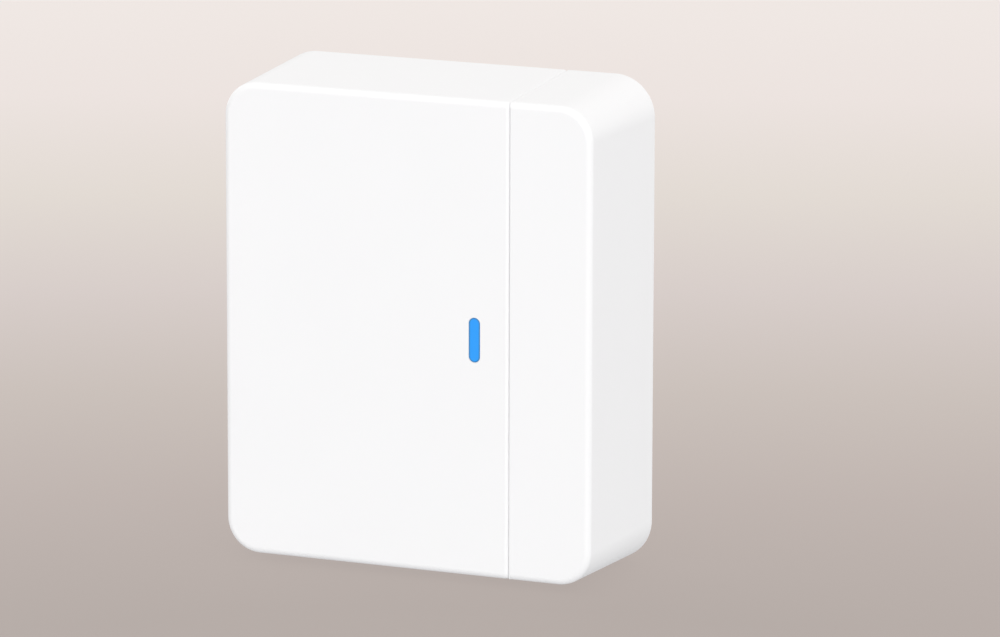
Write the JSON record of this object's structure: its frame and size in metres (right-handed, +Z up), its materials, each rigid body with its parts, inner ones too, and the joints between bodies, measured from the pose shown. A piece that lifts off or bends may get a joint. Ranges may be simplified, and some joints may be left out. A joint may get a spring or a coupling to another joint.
{
  "type": "door contact sensor",
  "caption": "Battery sensor unit in a white rounded case with a pill-shaped light, and the narrow magnet unit that closes against its side.",
  "frame": {"origin": "centre of the adhesive face on the back of the sensor unit", "axes": "+Z up along the cases' height, +Y out of the back into the door frame, +X from the sensor unit towards the magnet unit"},
  "size_m": [0.0382, 0.0153, 0.0464],
  "materials": {
    "white_plastic": "satin",
    "inner_plastic": "matt",
    "blue_light": "glowing",
    "foam_tape": "matt",
    "board": "satin",
    "module_board": "satin",
    "black_plastic": "matt",
    "grey_plastic": "matt",
    "steel": "bright",
    "copper": "bright",
    "glass": "clear",
    "lamp": "clear",
    "tantalum": "satin",
    "chip": "satin",
    "resistor": "satin",
    "nickel": "bright",
    "bed_foam": "matt"
  },
  "bodies": {
    "sensor_base": {"sensor_base_plate": "inner_plastic", "sensor_adhesive_pad": "foam_tape", "circuit_board": "board", "board_screw_upper": "steel", "board_screw_lower": "steel", "coin_cell": "steel", "battery_cradle": "black_plastic", "battery_clip_positive": "steel", "battery_contact_negative": "steel", "reed_glass": "glass", "reed_blade_upper": "steel", "reed_blade_lower": "steel", "led_chip": "lamp", "radio_module_board": "module_board", "shield_can": "steel", "module_antenna": "copper", "pairing_switch_body": "black_plastic", "reservoir_capacitor": "tantalum", "chip_capacitor_1": "chip", "chip_resistor_1": "resistor", "chip_capacitor_2": "chip", "chip_resistor_2": "resistor", "chip_capacitor_3": "chip", "chip_resistor_3": "resistor"},
    "sensor_cover": {"sensor_cover": "white_plastic", "light_pipe": "blue_light"},
    "pairing_button": {"pairing_button": "grey_plastic"},
    "magnet_unit": {"magnet_base_plate": "inner_plastic", "magnet_adhesive_pad": "foam_tape", "magnet_foam_bed": "bed_foam", "bar_magnet": "nickel"},
    "magnet_cover": {"magnet_cover": "white_plastic"}
  },
  "joints": [
    {"name": "cover_release", "type": "slide", "parent": "sensor_base", "child": "sensor_cover", "axis": [0, -1, 0], "range_m": [0, 0.03]},
    {"name": "pairing_press", "type": "slide", "parent": "sensor_base", "child": "pairing_button", "axis": [0, 1, 0], "range_m": [0, 0.00025], "stiffness_N_per_m": 1500},
    {"name": "magnet_slide", "type": "slide", "parent": "sensor_base", "child": "magnet_unit", "axis": [1, 0, 0], "range_m": [0, 0.06]},
    {"name": "magnet_cover_release", "type": "slide", "parent": "magnet_unit", "child": "magnet_cover", "axis": [0, -1, 0], "range_m": [0, 0.03]}
  ]
}
